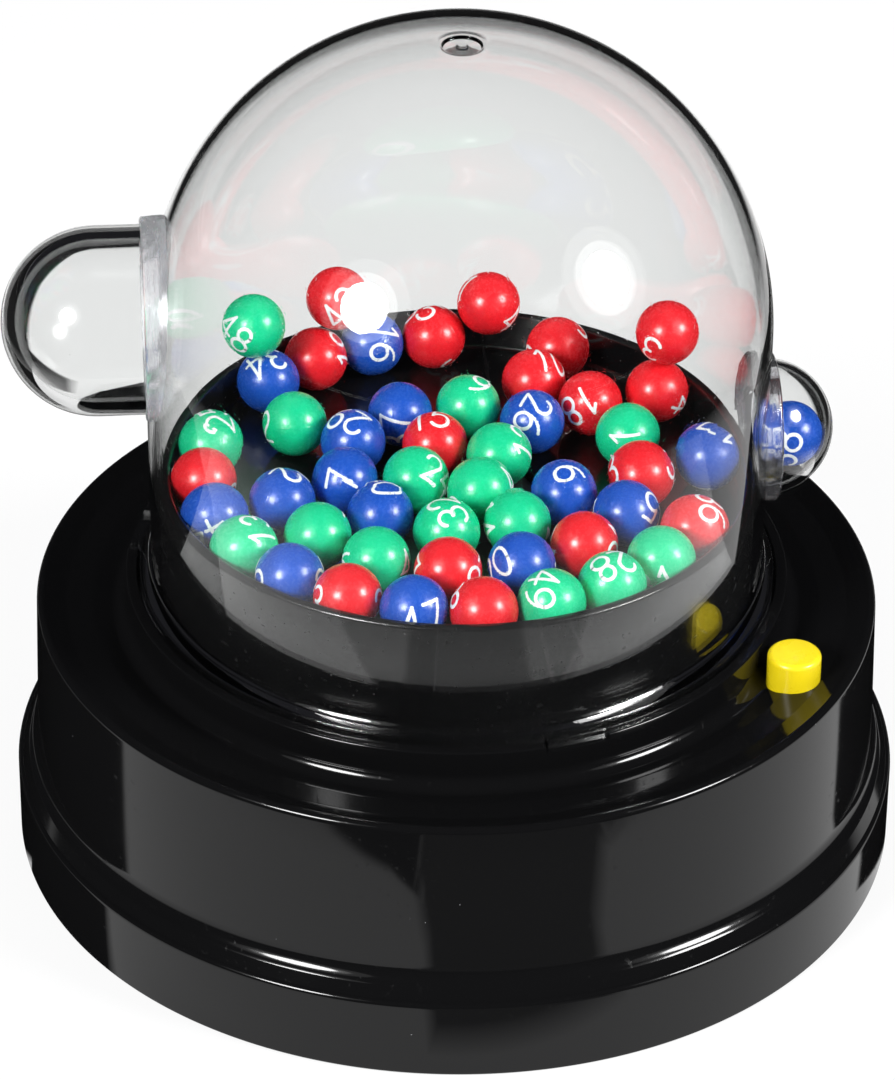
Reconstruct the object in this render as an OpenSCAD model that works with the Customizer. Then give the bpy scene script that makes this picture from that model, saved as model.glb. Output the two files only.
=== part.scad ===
// Desktop ball-draw machine: a round battery base with a tub of numbered balls under a
// clear dome. A button in the base runs a motor whose stirrer throws the balls about until
// one drops into the small pocket on the dome's side.
// Millimetres. +Z is up, +X runs through the small pocket, the origin is the middle of the
// base's bottom edge.

/* [Base] */
// Outer radius of the foot ring
ring_r = 68; // [66:0.5:72]
// Height of the foot ring's wall
ring_h = 13; // [11:0.5:15]
// Outer radius of the drum where it leaves the cove
drum_low_r = 64.9; // [64:0.1:65.5]
// Outer radius of the drum at its top edge
drum_top_r = 64.2; // [63:0.1:64.8]
// Height of the drum's top edge
drum_h = 41.8; // [40:0.2:44]
// Wall thickness of the black mouldings
wall = 2.2; // [1.8:0.1:2.4]
// Outer radius of the collar that holds the dome
collar_r = 50.5; // [50:0.1:51.5]
// Height of the collar's top edge
collar_h = 45.6; // [45:0.1:47]

/* [Dome] */
// Outer radius of the dome
dome_r = 46.6; // [46:0.1:47]
// Wall thickness of the dome
dome_wall = 1.2; // [1:0.1:1.4]
// Height at which the dome's straight wall ends and its hemisphere starts
dome_spring_h = 88; // [85:0.5:92]
// Outer radius of the dome's foot
foot_r = 48.35; // [48.2:0.05:48.4]

/* [Pockets] */
// Outer radius of the big pocket's tube
big_r = 14.1; // [12:0.1:15]
// Height of the big pocket's axis
big_h = 90.5; // [86:0.1:94]
// Distance from the dome's axis to the middle of the big pocket's round end
big_reach = 53.7; // [50:0.1:53.9]
// Outer radius of the small pocket, a part of a sphere
small_r = 10.3; // [10.1:0.1:10.8]
// Height of the small pocket's axis
small_h = 68.1; // [67.5:0.1:72]
// Radius of the throat through the dome into the small pocket
throat_r = 5.9; // [5.6:0.1:6.4]

/* [Tub and balls] */
// Outer radius of the ball tub
tub_r = 45; // [44.9:0.05:45.1]
// Wall thickness of the ball tub
tub_wall = 1.55; // [1.4:0.05:1.6]
// Height of the tub's rim
tub_h = 64; // [62:0.5:66]
// Height of the tub's floor
floor_h = 57.6; // [56:0.1:58]
// Radius of a ball
ball_r = 5; // [4.8:0.1:5]

/* [Button] */
// Radius of the button
button_r = 4.05; // [3.5:0.05:4.5]
// Height of the button's top
button_top = 45.3; // [44:0.1:46]
// Distance of the button from the dome's axis
button_reach = 55.6; // [55:0.1:57]
// Direction of the button, in degrees from +X
button_turn = -29.4; // [-35:0.1:-25]
// How far the button travels
button_travel = 1.5; // [1:0.1:2]

/* [Hidden] */
$fn = 96;
e = 0.01;
inner_ring_r = ring_r - wall;
trough_h = 39.6;                    // lowest line of the top face, at the collar's foot
face_h = 40.6;                      // top face between the trough and the rising edge
ledge_top = 43;                     // ledge inside the collar, under the dome and the tub
ledge_under = 41;
ledge_r = 37.4;                     // opening through the ledge
dome_in_r = dome_r - dome_wall;
foot_low = ledge_top + 0.1;
foot_high = 46.5;
tub_in_r = tub_r - tub_wall;
tub_low = ledge_top + 0.02;
floor_t = 1.8;

recess_r = 13;                      // round recess in the tub's floor for the stirrer
recess_h = 54.6;
plate_top = recess_h - floor_t;     // flat under the floor that the motor bears on
shaft_hole_r = 1.6;

lug_turns = [-74, 46, 166];         // the dome foot's lugs and the collar's notches
lug_w = 9.4;
lug_r = 50;
lug_low = 44.9;
lug_high = 46.2;

screw_turns = [30, 150, 270];       // housing screws
screw_reach = 57.5;
boss_r = 3.5;
pilot_r = 1.1;
thread_r = 1.08;
clear_r = 1.5;
head_r = 2.6;
head_t = 1.6;

tub_screw_turns = [-44, 76, 196];   // tub screws, from below
tub_screw_reach = 40.6;
tub_boss_r = 3.1;
seat_gap = 0.5;                     // the bosses stop short of the ledge, so the skirt seats first

cover_low = 1.2;                    // bottom cover's plate
cover_t = 2;
cover_top = cover_low + cover_t;
cover_r = inner_ring_r - 0.25;

cell_r = 7.2;                       // AA cell
cell_len = 48.6;
nub_r = 2.7;
nub_len = 1.6;
cell_y = 7.6;                       // each cell's axis is this far from the middle
cell_h = 12.6;
box_x = 28.4;                       // inside half sizes of the battery box
box_y = 15.4;
box_wall = 1.6;
box_roof = 20.6;
cell_shift = -0.9;                  // the cells sit this far towards the link plate
door_gap = 0.35;
door_x = box_x - door_gap;
door_y = box_y - door_gap;
door_low = cover_low + 0.1;
door_t = 1.8;
pivot_x = -door_x + door_t / 2;     // the door swings about this line
pivot_h = door_low + door_t / 2;
hook_y = 9;
hook_w = 5.2;
hook_low = 3.7;
hook_high = 4.5;

motor_r = 10;                       // motor can, with two flats
motor_flat = 7.6;
motor_top = plate_top - 0.05;
can_len = 21.4;
bell_len = 3.6;
can_low = motor_top - can_len;
bell_low = can_low - bell_len;
shaft_r = 1;
shaft_top = 56.9;
post_reach = 13.6;                  // posts that carry the motor clamp
post_r = 2.9;
clamp_t = 1.6;
terminal_x = 5.9;
bell_step = 1;                      // the end bell's boss stands this far below its body
clamp_top = bell_low + bell_step - 0.02;
clamp_low = clamp_top - clamp_t;

stem_r = 1.5;                       // switch stem under the button
flange_r = 5;
button_bore_r = button_r + 0.1;
face_under = face_h - wall;         // underside of the top face
flange_top = face_under - 0.25;
flange_t = 1;
switch_w = 8.5;
switch_low = 24;
switch_top = 31;
board_in = 8;                       // the board's reach inwards and outwards of the button
board_out = 4.7;
board_l = 25;
board_t = 1.6;
board_low = switch_low - board_t;
board_post = 9.8;

big_wall = 2;
big_ring_r = 15.4;
big_ring_x = 46.9;                  // flat outer face of the big pocket's ring
small_wall = 0.9;
small_ring_r = 11.5;
small_ring_x = 48;                  // flat outer face of the small pocket's ring
small_x = small_ring_x - 1.5;       // middle of the small pocket's sphere
bond = 0.03;                        // bond line between a ring and its neighbour

// Rings of ball places in the tub: radius, first direction, and one letter for each place,
// in turn: R, G, B for a ball's colour and _ for a place left empty.
ball_rings = [
    [38.4, 1, "B_R_R_RBRB_GRBGBRBRGGGR_"],
    [27.8, 15, "GRR___G_BGGRBRBR"],
    [17.4, 8, "_BGBBBBGGB"],
    [7.2, 24, "GRGG"]
];
// Balls that lean on the dome above the outermost ring: direction, rise and colour
leaning_reach = 40.15;
leaning_balls = [[31.2, 9.95, "R"], [78.4, 5.3, "R"], [113.5, 8.6, "R"], [137.8, 9.95, "G"]];
ball_h = floor_h + ball_r + 0.02;

// ---- helpers ----

// a tube standing on z = low
module tube(r, bore, low, high) {
    translate([0, 0, low])
        difference() {
            cylinder(r = r, h = high - low);
            translate([0, 0, -1])
                cylinder(r = bore, h = high - low + 2);
        }
}

// a disc standing on z = low
module disc(r, low, high) {
    translate([0, 0, low])
        cylinder(r = r, h = high - low);
}

// children at a reach from the axis and a direction
module at(turn, reach) {
    rotate([0, 0, turn])
        translate([reach, 0, 0])
            children();
}

// a cylinder along +X from x = a to x = b at the height h
module rod_x(r, a, b, h) {
    translate([a, 0, h])
        rotate([0, 90, 0])
            cylinder(r = r, h = b - a);
}

// points of a quarter-like arc from angle a0 to a1 about (cx, cz)
function arc(cx, cz, r, a0, a1, n = 8) =
    [for (i = [0:n]) let (a = a0 + (a1 - a0) * i / n) [cx + r * cos(a), cz + r * sin(a)]];

// a wire of radius r swept along hand-chosen points, as one closed polyhedron
function unit(v) = v / norm(v);
function smooth(p, k) =
    k == 0 ? p : smooth(concat([p[0]],
        [for (i = [0:len(p) - 2]) each [0.75 * p[i] + 0.25 * p[i + 1], 0.25 * p[i] + 0.75 * p[i + 1]]],
        [p[len(p) - 1]]), k - 1);
function heading(p, i) = unit(p[min(i + 1, len(p) - 1)] - p[max(i - 1, 0)]);
function carried(n, d) = unit(n - (n * d) * d);
function normals(p, i, n) =
    i == len(p) ? [] : let (m = carried(n, heading(p, i))) concat([m], normals(p, i + 1, m));
module swept(points, r, sides = 8) {
    n0 = abs(heading(points, 0) * [0, 0, 1]) < 0.9 ? [0, 0, 1] : [1, 0, 0];
    n = normals(points, 0, n0);
    last = len(points) - 1;
    rings = [for (i = [0:last]) for (s = [0:sides - 1])
        let (a = 360 * s / sides, d = heading(points, i))
        points[i] + r * (cos(a) * n[i] + sin(a) * cross(d, n[i]))];
    walls = [for (i = [0:last - 1]) for (s = [0:sides - 1]) let (t = (s + 1) % sides)
        each [[i * sides + s, (i + 1) * sides + s, (i + 1) * sides + t],
              [i * sides + s, (i + 1) * sides + t, i * sides + t]]];
    ends = [[for (s = [0:sides - 1]) s], [for (s = [sides - 1:-1:0]) last * sides + s]];
    polyhedron(points = rings, faces = concat(ends, walls), convexity = 10);
}

// a self-tapping screw, head down, its thread ending at z = tip
module screw(head_low, tip) {
    difference() {
        disc(head_r, head_low, head_low + head_t);
        for (a = [0, 90])
            rotate([0, 0, a])
                translate([-1.5, -0.3, head_low - 1])
                    cube([3, 0.6, 1.8]);
    }
    disc(thread_r, head_low + head_t - e, tip);
}

// ---- base ----

module housing_outline() {
    lip = 0.9;
    polygon(concat(
        [[inner_ring_r, 0], [ring_r - 0.3, 0], [ring_r, 0.3]],
        arc(ring_r - 0.8, ring_h - 0.8, 0.8, 0, 80, 4),
        [[ring_r - 1.6, ring_h + 0.15]],
        arc(drum_low_r + 3.3, ring_h + 4.6, 3.4, 240, 180, 6),
        arc(drum_top_r - lip, drum_h - lip, lip, 0, 110, 6),
        [[drum_top_r - 2.4, drum_h - 0.5], [drum_top_r - 4.4, face_h + 0.1], [collar_r + 5, face_h - 0.25]],
        arc(collar_r + 2.1, trough_h + 2.1, 2.1, 270, 180, 5),
        arc(collar_r - 0.4, collar_h - 0.4, 0.4, 0, 90, 3),
        [[collar_r - 1.75, collar_h], [collar_r - 1.75, ledge_top], [ledge_r, ledge_top],
         [ledge_r, ledge_under], [collar_r - wall - 0.3, ledge_under],
         [collar_r - wall - 0.3, trough_h - wall], [collar_r + 4, face_under - 0.3],
         [drum_top_r - 3.6, face_under], [drum_top_r - wall, face_under - 1.2],
         [drum_low_r - wall, ring_h + 3], [inner_ring_r, ring_h - 1.4]]
    ));
}

module base_housing() {
    color([0.03, 0.03, 0.03])
    difference() {
        union() {
            rotate_extrude()
                housing_outline();
            // screw bosses under the top face, each tied to the drum by a rib
            for (a = screw_turns)
                at(a, screw_reach) {
                    disc(boss_r, cover_top + 0.1, face_under + 0.2);
                    translate([0, -0.8, 20])
                        cube([5.4, 1.6, face_under - 20]);
                }
            // guide around the button and the two posts of the switch board
            at(button_turn, button_reach) {
                disc(flange_r + 1.6, face_under - 1.6, face_under + 0.2);
                for (s = [-1, 1])
                    translate([0, s * board_post, 0])
                        disc(2.6, board_low + board_t + 0.02, face_under + 0.1);
            }
        }
        for (a = screw_turns)
            at(a, screw_reach)
                disc(pilot_r, -1, 16);
        for (a = tub_screw_turns)
            at(a, tub_screw_reach)
                disc(clear_r, ledge_under - 1, ledge_top + 1);
        for (a = lug_turns)
            at(a, collar_r - 1)
                translate([-3, -lug_w / 2 - 0.3, lug_low - 0.3])
                    cube([6, lug_w + 0.6, 3]);
        at(button_turn, button_reach) {
            disc(button_bore_r, face_under - 4, drum_h + 2);
            disc(flange_r + 0.3, face_under - 3, face_under);
            for (s = [-1, 1])
                translate([0, s * board_post, 0])
                    disc(0.9, board_low, 34);
        }
    }
}

module bottom_cover() {
    color([0.05, 0.05, 0.05])
    difference() {
        union() {
            disc(cover_r, cover_low, cover_top);
            translate([-box_x - box_wall, -box_y - box_wall, cover_low])
                cube([2 * (box_x + box_wall), 2 * (box_y + box_wall), box_roof + box_wall - cover_low]);
            for (a = screw_turns)
                at(a, screw_reach)
                    disc(head_r + 1.4, cover_low, cover_top);
        }
        // the battery box, open below
        translate([-box_x, -box_y, cover_low - 1])
            cube([2 * box_x, 2 * box_y, box_roof - cover_low + 1]);
        // slots in the box's end wall for the two contact tabs
        for (s = [-1, 1])
            translate([box_x - 1, s * cell_y - 2, cell_h + 1.5])
                cube([box_wall + 2, 4, 3.5]);
        // slots for the door's hooks
        for (s = [-1, 1])
            translate([-box_x - box_wall - 1, s * hook_y - hook_w / 2 - 0.5, cover_top + 0.1])
                cube([box_wall + 2, hook_w + 1, 2.4]);
        // finger scoop beside the catch
        translate([box_x + 4.5, 0, cover_low - 3.2])
            sphere(r = 4.5);
        for (a = screw_turns)
            at(a, screw_reach) {
                disc(clear_r, cover_low - 1, cover_top + 1);
                disc(head_r + 0.3, cover_low - 1, cover_low + 0.9);
            }
    }
}

// The door swings about the middle of its half-round edge, with its hooks in the end wall.
module battery_door() {
    color([0.06, 0.06, 0.06])
    difference() {
        union() {
            translate([pivot_x, -door_y, door_low])
                cube([door_x - pivot_x, 2 * door_y, door_t]);
            translate([pivot_x, door_y, pivot_h])
                rotate([90, 0, 0])
                    cylinder(r = door_t / 2, h = 2 * door_y);
            // two hooks that reach into the box's end wall
            for (s = [-1, 1]) {
                translate([pivot_x - 0.4, s * hook_y - hook_w / 2, pivot_h])
                    cube([1.5, hook_w, hook_high - pivot_h]);
                translate([-box_x - 0.9, s * hook_y - hook_w / 2, hook_low])
                    cube([2, hook_w, hook_high - hook_low]);
            }
            // springy catch
            translate([door_x - 1.3, -3.6, door_low + door_t - e])
                cube([1.2, 7.2, 4]);
            translate([door_x - 0.3, -3.6, cover_top + 0.5])
                cube([0.45, 7.2, 1]);
        }
        // grip grooves
        for (i = [0:3])
            translate([door_x - 6 - 2.2 * i, -6, door_low - 0.5])
                cube([1, 12, 1]);
    }
}

module housing_screws() {
    color("silver")
    for (a = screw_turns)
        at(a, screw_reach)
            screw(cover_low - 0.72, 13.5);
}

module tub_outline() {
    polygon(concat(
        [[tub_r, tub_low]],
        arc(tub_r - 0.6, tub_h - 0.6, 0.6, 0, 90, 4),
        arc(tub_in_r + 0.6, tub_h - 0.6, 0.6, 90, 180, 4),
        [[tub_in_r, floor_h + 0.5], [tub_in_r - 0.5, floor_h], [recess_r, floor_h], [recess_r, recess_h],
         [shaft_hole_r, recess_h], [shaft_hole_r, plate_top], [recess_r + floor_t, plate_top],
         [recess_r + floor_t, floor_h - floor_t], [tub_in_r - 0.2, floor_h - floor_t],
         [tub_in_r - 0.2, tub_low]]
    ));
}

module ball_tub() {
    color([0.03, 0.03, 0.03])
    difference() {
        union() {
            rotate_extrude()
                tub_outline();
            for (a = tub_screw_turns)
                at(a, tub_screw_reach)
                    disc(tub_boss_r, tub_low + seat_gap, floor_h - 1);
            for (s = [-1, 1])
                translate([0, s * post_reach, 0])
                    disc(post_r, clamp_top + 0.02, plate_top + 1);
        }
        for (a = tub_screw_turns)
            at(a, tub_screw_reach)
                disc(pilot_r, tub_low - 1, 53);
        for (s = [-1, 1])
            translate([0, s * post_reach, 0])
                disc(pilot_r, clamp_low, clamp_low + 15);
    }
}

module tub_screws() {
    color("silver")
    for (a = tub_screw_turns)
        at(a, tub_screw_reach)
            screw(ledge_under - head_t - 0.02, 51);
}

// ---- motor and stirrer ----

module motor_round(r, flat, low, high) {
    intersection() {
        disc(r, low, high);
        translate([-flat, -r, low - 1])
            cube([2 * flat, 2 * r, high - low + 2]);
    }
}

module motor_can() {
    color([0.75, 0.75, 0.77])
    difference() {
        motor_round(motor_r, motor_flat, can_low, motor_top);
        motor_round(motor_r - 0.7, motor_flat - 0.7, can_low - 1, motor_top - 0.7);
        disc(shaft_r + 0.05, motor_top - 2, motor_top + 3);
    }
}

module motor_magnets() {
    color([0.25, 0.25, 0.27])
    intersection() {
        tube(motor_r - 0.75, 6.6, can_low + 4.5, motor_top - 4);
        translate([-4.6, -motor_r, can_low])
            cube([9.2, 2 * motor_r, can_len]);
    }
}

module motor_end_bell() {
    color([0.9, 0.9, 0.88])
    difference() {
        union() {
            motor_round(motor_r - 0.05, motor_flat - 0.05, bell_low + bell_step, can_low - 0.02);
            motor_round(motor_r - 0.75, motor_flat - 0.75, can_low - e - 0.02, can_low + 1.2);
            disc(3.2, bell_low, bell_low + bell_step + e);
        }
        disc(shaft_r + 0.05, bell_low + 0.8, can_low + 3);
        for (s = [-1, 1])
            translate([s * terminal_x - 0.3, -1.3, bell_low - 1])
                cube([0.6, 2.6, 6]);
    }
}

module motor_terminals() {
    color("goldenrod")
    for (s = [-1, 1])
        translate([s * terminal_x - 0.2, -1.2, bell_low - 2.4])
            cube([0.4, 2.4, 6]);
}

module motor_shaft() {
    color("silver") {
        disc(shaft_r, bell_low + 0.9, shaft_top);
        // laminated rotor inside the can
        tube(6.1, shaft_r - e, can_low + 5, motor_top - 5);
        // commutator
        tube(2.4, shaft_r - e, can_low + 1.6, can_low + 4.4);
    }
}

module stirrer() {
    color([0.08, 0.08, 0.08])
    difference() {
        union() {
            disc(recess_r - 0.5, recess_h + 0.6, recess_h + 1.7);
            disc(3.4, recess_h + 0.6, floor_h - 0.25);
            // three low vanes
            for (a = [0, 120, 240])
                rotate([0, 0, a])
                    translate([2.6, -0.9, recess_h + 1.6])
                        cube([recess_r - 4, 1.8, floor_h - 0.25 - recess_h - 1.6]);
        }
        disc(shaft_r + 0.02, recess_h - 1, shaft_top + 0.05);
    }
}

module motor_clamp() {
    color([0.8, 0.8, 0.82])
    difference() {
        union() {
            translate([-5, -post_reach, clamp_low])
                cube([10, 2 * post_reach, clamp_t]);
            for (s = [-1, 1])
                translate([0, s * post_reach, 0])
                    disc(5, clamp_low, clamp_top);
        }
        disc(3.35, clamp_low - 1, clamp_top + 1);
        for (s = [-1, 1])
            translate([0, s * post_reach, 0])
                disc(clear_r, clamp_low - 1, clamp_top + 1);
    }
}

module clamp_screws() {
    color("silver")
    for (s = [-1, 1])
        translate([0, s * post_reach, 0])
            screw(clamp_low - head_t - 0.02, clamp_low + 12);
}

// ---- batteries, switch and wires ----

// a cell along X, its nub towards +X for s = 1 and towards -X for s = -1
module cell(s) {
    translate([cell_shift, s * cell_y, 0]) {
        rod_x(cell_r, -cell_len / 2, cell_len / 2, cell_h);
        if (s > 0)
            rod_x(nub_r, cell_len / 2 - e, cell_len / 2 + nub_len, cell_h);
        else
            rod_x(nub_r, -cell_len / 2 - nub_len, -cell_len / 2 + e, cell_h);
    }
}

module battery_cells() {
    color([0.15, 0.3, 0.2]) {
        cell(1);
        cell(-1);
    }
}

// a narrowing coil from its foot at x = 0 along +X
module coil(length, turns, r_foot, r_tip) {
    steps = turns * 10;
    points = [for (i = [0:steps])
        let (t = i / steps, a = 36 * i, r = r_foot + (r_tip - r_foot) * t)
        [0.35 + length * t, r * cos(a), r * sin(a)]];
    swept(points, 0.3);
}

module battery_springs() {
    color("silver") {
        translate([-box_x + 0.45, cell_y, cell_h])
            coil(box_x + cell_shift - cell_len / 2 - 1.15, 3, 4.4, 2.6);
        translate([box_x - 0.45, -cell_y, cell_h])
            mirror([1, 0, 0])
                coil(box_x - cell_shift - cell_len / 2 - 1.15, 4, 4.4, 2.6);
    }
}

module battery_plates() {
    plate_t = 0.4;
    color("silver") {
        // link plate across both cells, with a raised pad under a nub
        translate([-box_x + 0.02, -cell_y - 4.5, cell_h - 4.5])
            cube([plate_t, 2 * cell_y + 9, 9]);
        translate([0, -cell_y, 0])
            rod_x(2.2, -box_x + plate_t, cell_shift - cell_len / 2 - nub_len - 0.05, cell_h);
        // two end plates, each with a tab out through the wall
        translate([0, cell_y, 0])
            rod_x(2.2, cell_shift + cell_len / 2 + nub_len + 0.05, box_x - plate_t, cell_h);
        for (s = [-1, 1]) {
            translate([box_x - plate_t - 0.02, s * cell_y - 4.5, cell_h - 4.5])
                cube([plate_t, 9, 9]);
            translate([box_x - plate_t - 0.02, s * cell_y - 1.5, cell_h + 2.5])
                cube([box_wall + 3, 3, plate_t]);
        }
    }
}

module switch_pins(r, low, high) {
    for (x = [-3, 0, 3])
        for (s = [-1, 1])
            translate([x, s * 2.5, 0])
                disc(r, low, high);
}

module switch_board() {
    color([0.1, 0.35, 0.15])
    at(button_turn, button_reach)
        difference() {
            translate([-board_in, -board_l / 2, board_low])
                cube([board_in + board_out, board_l, board_t]);
            for (s = [-1, 1])
                translate([0, s * board_post, 0])
                    disc(1.25, board_low - 1, board_low + board_t + 1);
            switch_pins(0.5, board_low - 1, board_low + board_t + 1);
        }
}

module board_screws() {
    color("silver")
    at(button_turn, button_reach)
        for (s = [-1, 1])
            translate([0, s * board_post, 0]) {
                disc(1.9, board_low - 1.22, board_low - 0.02);
                disc(0.88, board_low - 0.03, 31);
            }
}

module push_switch() {
    color([0.85, 0.85, 0.8])
    at(button_turn, button_reach)
        difference() {
            union() {
                translate([-switch_w / 2, -switch_w / 2, switch_low + 0.02])
                    cube([switch_w, switch_w, switch_top - switch_low]);
                switch_pins(0.45, board_low - 1.2, switch_low + 0.1);
            }
            disc(stem_r + 0.06, switch_low + 1.5, switch_top + 1);
        }
}

module switch_stem() {
    color("white")
    at(button_turn, button_reach)
        disc(stem_r, switch_low + 1.5 + button_travel + 0.3, flange_top + 2);
}

module button_cap() {
    edge = 0.7;
    color([0.92, 0.85, 0.1])
    at(button_turn, button_reach)
        difference() {
            rotate_extrude()
                polygon(concat(
                    [[0, flange_top - flange_t], [flange_r, flange_top - flange_t], [flange_r, flange_top],
                     [button_r, flange_top]],
                    arc(button_r - edge, button_top - edge, edge, 0, 80, 5),
                    [[0, button_top]]));
            disc(stem_r + 0.02, flange_top - flange_t - 1, flange_top + 2.05);
        }
}

module button_spring() {
    low = switch_top + 0.35;
    high = flange_top - flange_t - 0.33;
    turns = 3;
    steps = turns * 12;
    color("silver")
    at(button_turn, button_reach)
        swept([for (i = [0:steps])
            [2.9 * cos(30 * i), 2.9 * sin(30 * i), low + (high - low) * i / steps]], 0.28);
}

module wire(points, tint) {
    color(tint)
        swept(smooth(points, 2), 0.6);
}

module wire_red() {
    wire([[32.65, 7.6, 15.6], [37, 7.8, 16], [40, 2, 19], [31, -3, 24], [16, -6, 23.8], [6, -3, 23.4],
          [terminal_x, -0.2, 24.9]], "red");
}

module wire_black() {
    wire([[32.65, -7.6, 15.6], [38, -8, 15.6], [43, -13, 15], [46, -19, 16.5], [47.4, -21, 19.5],
          [47.4, -21, 22.3]], [0.1, 0.1, 0.1]);
}

module wire_yellow() {
    wire([[42.5, -29.7, 22.3], [42.3, -29.4, 19.5], [36, -25, 18.5], [25, -21, 23], [8, -9, 23.6],
          [-3, -4, 23.2], [-terminal_x, -0.2, 24.9]], "gold");
}

// ---- balls ----

// places in a ring whose letter is the given one
module ring_balls(ring, letter) {
    places = len(ring[2]);
    for (i = [0:places - 1])
        if (ring[2][i] == letter)
            at(ring[1] + 360 * i / places, ring[0])
                translate([0, 0, ball_h])
                    sphere(r = ball_r);
}

module balls(letter) {
    for (ring = ball_rings)
        ring_balls(ring, letter);
    for (ball = leaning_balls)
        if (ball[2] == letter)
            at(ball[0], leaning_reach)
                translate([0, 0, ball_h + ball[1]])
                    sphere(r = ball_r);
}

module balls_red() {
    color([0.85, 0.12, 0.15]) balls("R");
}

module balls_green() {
    color([0.08, 0.7, 0.45]) balls("G");
}

module balls_blue() {
    color([0.14, 0.28, 0.68]) balls("B");
}

// ---- dome ----

// half outline of the dome's space: a straight wall and a quarter round above it
module dome_half(r, low) {
    translate([0, low])
        square([r, dome_spring_h - low]);
    intersection() {
        translate([0, dome_spring_h])
            circle(r = r);
        translate([0, dome_spring_h])
            square([r + 1, r + 1]);
    }
}

module dome_solid(r, low) {
    rotate_extrude()
        dome_half(r, low);
}

// half outline of the shell, with its foot flared out from the wall
module dome_section() {
    flare = 2.4;
    difference() {
        union() {
            dome_half(dome_r, foot_low);
            difference() {
                translate([dome_in_r, foot_low])
                    square([foot_r - dome_in_r, foot_high + flare - foot_low]);
                translate([dome_r + flare, foot_high + flare])
                    circle(r = flare);
                translate([dome_r + 0.7, foot_high])
                    square([flare, flare + 1]);
            }
        }
        dome_half(dome_in_r, foot_low - 1);
    }
}

module dome() {
    gate_r = 3.5;
    crown = dome_spring_h + dome_r;
    color([0.85, 0.9, 0.92, 0.3])
    difference() {
        union() {
            rotate_extrude()
                dome_section();
            for (a = lug_turns)
                at(a, foot_r - 1)
                    translate([0, -lug_w / 2, lug_low])
                        cube([lug_r - foot_r + 0.8, lug_w, lug_high - lug_low]);
        }
        // openings into the pockets
        rod_x(big_r - big_wall, -dome_r - 8, -30, big_h);
        rod_x(throat_r, 30, dome_r + 8, small_h);
        // gate mark on the crown: a shallow dimple with a nub in its middle
        difference() {
            disc(gate_r, crown - 0.35, crown + 1);
            disc(0.8, crown - 1, crown - 0.05);
        }
    }
}

// everything outside the dome's outer skin
module outside_dome(side) {
    intersection() {
        children();
        difference() {
            translate([side > 0 ? 30 : -80, -30, 40])
                cube([50, 60, 80]);
            dome_solid(dome_r + bond, 30);
        }
    }
}

module big_pocket_ring() {
    color([0.8, 0.8, 0.85, 0.6])
    outside_dome(-1)
        difference() {
            rod_x(big_ring_r, -big_ring_x, -34, big_h);
            rod_x(big_r - big_wall, -60, -30, big_h);
        }
}

// the big pocket's tube and round end, shrunk by a wall's thickness, from its ring outwards
module big_bulb(shrink, start) {
    r = big_r - shrink;
    translate([0, 0, big_h])
        rotate([0, -90, 0])
            rotate_extrude()
                polygon(concat([[0, start], [r, start]], arc(0, big_reach, r, 0, 90, 12)));
}

module big_pocket() {
    color([0.85, 0.9, 0.92, 0.3])
    difference() {
        big_bulb(0, big_ring_x + bond);
        big_bulb(big_wall, big_ring_x - 1);
    }
}

module small_pocket_ring() {
    color([0.8, 0.8, 0.85, 0.6])
    outside_dome(1)
        difference() {
            rod_x(small_ring_r, 34, small_ring_x, small_h);
            rod_x(throat_r, 30, 60, small_h);
        }
}

// the small pocket's part of a sphere, shrunk by a wall's thickness, from x = start outwards
module small_bulb(shrink, start) {
    r = small_r - shrink;
    edge_turn = asin((start - small_x) / r);
    translate([0, 0, small_h])
        rotate([0, 90, 0])
            rotate_extrude()
                polygon(concat([[0, start]], arc(0, small_x, r, edge_turn, 90, 12)));
}

module small_pocket() {
    color([0.85, 0.9, 0.92, 0.3])
    difference() {
        small_bulb(0, small_ring_x + bond);
        small_bulb(small_wall, small_ring_x - 1);
    }
}

// The drawn ball rests on the throat's lower lip and against the inside of the small pocket.
// Its middle is lip_gap from the lip and wall_gap from the middle of the pocket's sphere.
lip_gap = ball_r + 0.05;
wall_gap = small_r - small_wall - lip_gap;
lip_lead = [small_ring_x - small_x, -throat_r];     // from the sphere's middle to the lip
lip_span = norm(lip_lead);
lip_way = lip_lead / lip_span;
side_way = [-lip_way[1], lip_way[0]];
along = (pow(wall_gap, 2) - pow(lip_gap, 2) + pow(lip_span, 2)) / (2 * lip_span);
aside = sqrt(pow(wall_gap, 2) - pow(along, 2));
drawn = [small_x, small_h] + along * lip_way + aside * side_way;

module drawn_ball() {
    color([0.14, 0.28, 0.68])
        translate([drawn[0], 0, drawn[1]])
            sphere(r = ball_r);
}

base_housing();
ball_tub();
bottom_cover();
housing_screws();
tub_screws();
motor_can();
motor_magnets();
motor_end_bell();
motor_terminals();
motor_clamp();
clamp_screws();
battery_cells();
battery_springs();
battery_plates();
switch_board();
board_screws();
push_switch();
button_spring();
wire_red();
wire_black();
wire_yellow();
balls_red();
balls_green();
balls_blue();
battery_door();
button_cap();
switch_stem();
motor_shaft();
stirrer();
dome();
big_pocket();
big_pocket_ring();
small_pocket();
small_pocket_ring();
drawn_ball();
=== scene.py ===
import math
import random

import bmesh
import bpy
import numpy as np
from mathutils import Matrix, Vector


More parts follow.
